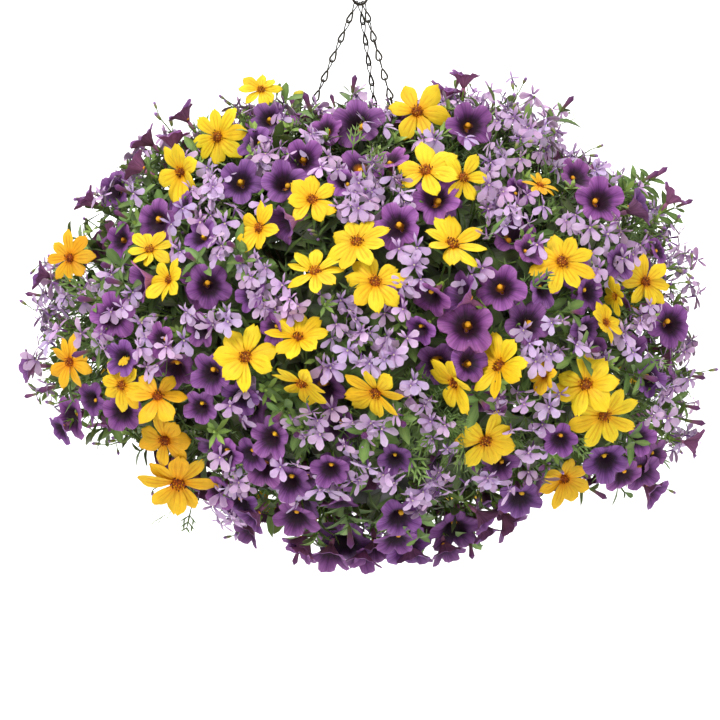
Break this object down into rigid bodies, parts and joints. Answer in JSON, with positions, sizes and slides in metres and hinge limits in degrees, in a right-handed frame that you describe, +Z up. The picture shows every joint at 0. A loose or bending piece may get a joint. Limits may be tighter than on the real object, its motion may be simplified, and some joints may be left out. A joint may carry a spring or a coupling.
{
  "type": "hanging basket of bidens",
  "caption": "Round hanging basket overflowing with yellow bidens, purple calibrachoa and lilac lobelia, hung by three wire chains from a single hook.",
  "frame": {"origin": "the point inside the hook's crook that rests on a bracket's arm, straight above the middle of the basket", "axes": "+Z up along the hanging line, -Y towards the side that the picture shows, +X to that side's right"},
  "size_m": [0.5202, 0.5269, 0.5252],
  "materials": {
    "bidens": "soft matte petals, bright yellow",
    "calibrachoa": "velvety matte petals, deep purple",
    "lobelia": "soft matte petals, pale lilac",
    "foliage": "matte to faintly waxy green leaves and stems",
    "chain_wire": "dark bronzed wire, slightly glossy",
    "basket": "plain dark moulded plastic, satin",
    "potting_mix": "dry crumbly peat, rough"
  },
  "bodies": {
    "root": {"basket": "basket", "bidens_spray_01": "bidens", "bidens_spray_02": "bidens", "bidens_spray_03": "bidens", "bidens_spray_04": "bidens", "bidens_spray_05": "bidens", "bidens_spray_06": "bidens", "bidens_spray_07": "bidens", "bidens_spray_08": "bidens", "bidens_spray_09": "bidens", "bidens_spray_10": "bidens", "bidens_spray_11": "bidens", "bidens_spray_12": "bidens", "bidens_spray_13": "bidens", "bidens_spray_14": "bidens", "bidens_spray_15": "bidens", "bidens_spray_16": "bidens", "bidens_spray_17": "bidens", "calibrachoa_spray_01": "calibrachoa", "calibrachoa_spray_02": "calibrachoa", "calibrachoa_spray_03": "calibrachoa", "calibrachoa_spray_04": "calibrachoa", "calibrachoa_spray_05": "calibrachoa", "calibrachoa_spray_06": "calibrachoa", "calibrachoa_spray_07": "calibrachoa", "calibrachoa_spray_08": "calibrachoa", "calibrachoa_spray_09": "calibrachoa", "calibrachoa_spray_10": "calibrachoa", "calibrachoa_spray_11": "calibrachoa", "calibrachoa_spray_12": "calibrachoa", "calibrachoa_spray_13": "calibrachoa", "calibrachoa_spray_14": "calibrachoa", "calibrachoa_spray_15": "calibrachoa", "calibrachoa_spray_16": "calibrachoa", "calibrachoa_spray_17": "calibrachoa", "calibrachoa_spray_18": "calibrachoa", "calibrachoa_spray_19": "calibrachoa", "chain_back": "chain_wire", "chain_left": "chain_wire", "chain_right": "chain_wire", "hanger_hook": "chain_wire", "lobelia_spray_01": "lobelia", "lobelia_spray_02": "lobelia", "lobelia_spray_03": "lobelia", "lobelia_spray_04": "lobelia", "lobelia_spray_05": "lobelia", "lobelia_spray_06": "lobelia", "lobelia_spray_07": "lobelia", "lobelia_spray_08": "lobelia", "lobelia_spray_09": "lobelia", "lobelia_spray_10": "lobelia", "lobelia_spray_11": "lobelia", "lobelia_spray_12": "lobelia", "lobelia_spray_13": "lobelia", "lobelia_spray_14": "lobelia", "lobelia_spray_15": "lobelia", "lobelia_spray_16": "lobelia", "potting_mix": "potting_mix"}
  },
  "joints": []
}
